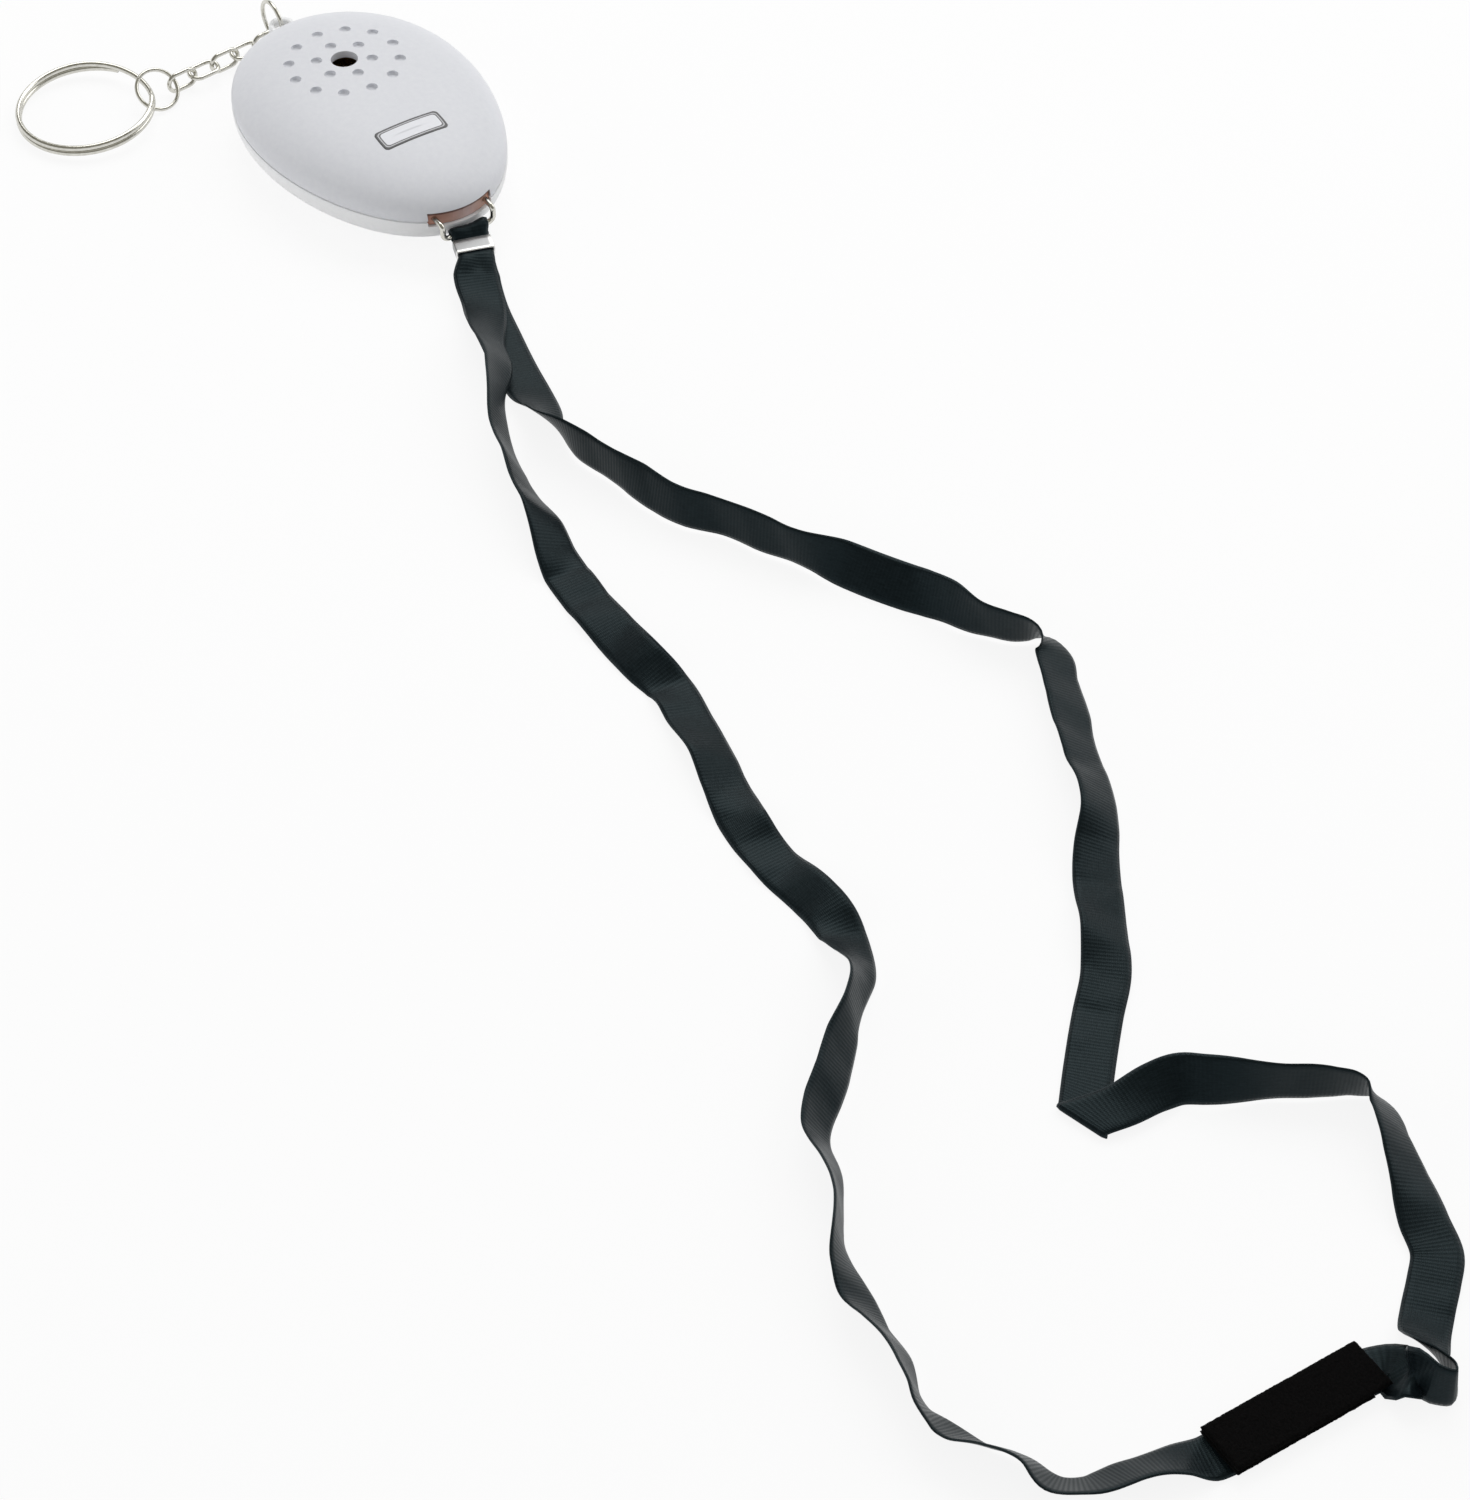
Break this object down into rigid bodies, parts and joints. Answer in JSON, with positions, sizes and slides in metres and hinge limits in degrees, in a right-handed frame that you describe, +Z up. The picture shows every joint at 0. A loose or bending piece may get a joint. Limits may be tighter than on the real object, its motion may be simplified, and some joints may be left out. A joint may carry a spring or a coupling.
{
  "type": "personal safety alarm",
  "caption": "Egg-shaped pull-pin personal alarm with a siren grille, a ribbon neck lanyard that draws out a plug, and a key chain with a split ring.",
  "frame": {"origin": "the middle of the flat underside of the case, on the table", "axes": "+Z up from the table through the case, +X from the round end with the key chain towards the narrow end with the plug and lanyard, +Y to the left when looking along +X"},
  "size_m": [0.4086, 0.1176, 0.0167],
  "materials": {
    "upper_plastic": "satin grey-white moulded plastic",
    "lower_plastic": "satin white moulded plastic",
    "badge": "blank foil plate",
    "steel": "satin nickel-plated steel",
    "board": "bare phenolic board",
    "dark_plastic": "moulded black plastic",
    "brass": "bare spring brass",
    "piezo": "fired ceramic disc",
    "lead": "insulated wire",
    "winding": "enamelled copper wire",
    "core": "ferrite",
    "resistor": "lacquered body",
    "plug_plastic": "moulded plastic",
    "plated_wire": "bright nickel-plated wire",
    "ribbon": "woven ribbon with fine cross ribs",
    "hook_and_loop": "hook-and-loop fastener"
  },
  "bodies": {
    "case": {"upper_shell": "upper_plastic", "lower_shell": "lower_plastic", "badge_plate": "badge", "case_screws": "steel", "circuit_board": "board", "sounder_retainer": "dark_plastic", "piezo_plate": "brass", "piezo_ceramic": "piezo", "sounder_leads": "lead", "siren_chip": "dark_plastic", "step_up_coil": "winding", "coil_core": "core", "transistor": "dark_plastic", "resistors": "resistor", "button_cells": "steel", "cell_link_lower": "steel", "cell_link_upper": "steel", "positive_contact": "steel", "negative_contact": "steel", "switch_anchor": "dark_plastic", "contact_leaf_lower": "brass"},
    "plug": {"pull_plug": "plug_plastic", "wire_bail": "plated_wire", "crimp_clamp": "steel", "lanyard": "ribbon", "breakaway_hook_strip": "hook_and_loop", "breakaway_loop_strip": "hook_and_loop"},
    "switch_leaf": {"contact_leaf_upper": "brass"},
    "lug_ring": {"lug_ring": "plated_wire"},
    "link_5": {"chain_link_5": "plated_wire"},
    "link_4": {"chain_link_4": "plated_wire"},
    "link_3": {"chain_link_3": "plated_wire"},
    "link_2": {"chain_link_2": "plated_wire"},
    "link_1": {"chain_link_1": "plated_wire"},
    "jump_ring": {"jump_ring": "plated_wire"},
    "key_ring": {"key_ring": "plated_wire"}
  },
  "joints": [
    {"name": "plug_pull", "type": "slide", "parent": "case", "child": "plug", "axis": [1, 0, 0], "range_m": [0, 0.014]},
    {"name": "leaf_close", "type": "hinge", "parent": "case", "child": "switch_leaf", "pos_m": [0.0155, 0, 0.00935], "axis": [0, 1, 0], "range_deg": [0, 4.5]},
    {"name": "lug_ring_swing", "type": "hinge", "parent": "case", "child": "lug_ring", "pos_m": [-0.0378, 0, 0.0073], "axis": [0, 0, 1], "range_deg": [-25, 4]},
    {"name": "link_5_swing", "type": "hinge", "parent": "lug_ring", "child": "link_5", "pos_m": [-0.042, 0.00129, 0.00232], "axis": [-0.0694, -0.007, 0.9976], "range_deg": [-14, 4]},
    {"name": "link_4_swing", "type": "hinge", "parent": "link_5", "child": "link_4", "pos_m": [-0.04148, -0.00383, 0.00232], "axis": [-0.9943, -0.101, 0.0349], "range_deg": [-1, 14]},
    {"name": "link_3_swing", "type": "hinge", "parent": "link_4", "child": "link_3", "pos_m": [-0.04096, -0.00895, 0.00232], "axis": [-0.0694, -0.007, 0.9976], "range_deg": [-14, 4]},
    {"name": "link_2_swing", "type": "hinge", "parent": "link_3", "child": "link_2", "pos_m": [-0.04044, -0.01408, 0.00232], "axis": [-0.9943, -0.101, 0.0349], "range_deg": [-1, 14]},
    {"name": "link_1_swing", "type": "hinge", "parent": "link_2", "child": "link_1", "pos_m": [-0.03992, -0.0192, 0.00232], "axis": [-0.0694, -0.007, 0.9976], "range_deg": [-14, 4]},
    {"name": "jump_ring_swing", "type": "hinge", "parent": "link_1", "child": "jump_ring", "pos_m": [-0.03942, -0.02408, 0.00284], "axis": [-0.815, -0.0828, 0.5736], "range_deg": [-1, 20]},
    {"name": "key_ring_swing", "type": "hinge", "parent": "jump_ring", "child": "key_ring", "pos_m": [-0.03884, -0.0298, 0.00284], "axis": [-0.9603, 0.279, 0], "range_deg": [-1, 25]}
  ],
  "couplings": [
    {"joint": "leaf_close", "follows": "plug_pull", "rad_per_m": 5.6}
  ]
}
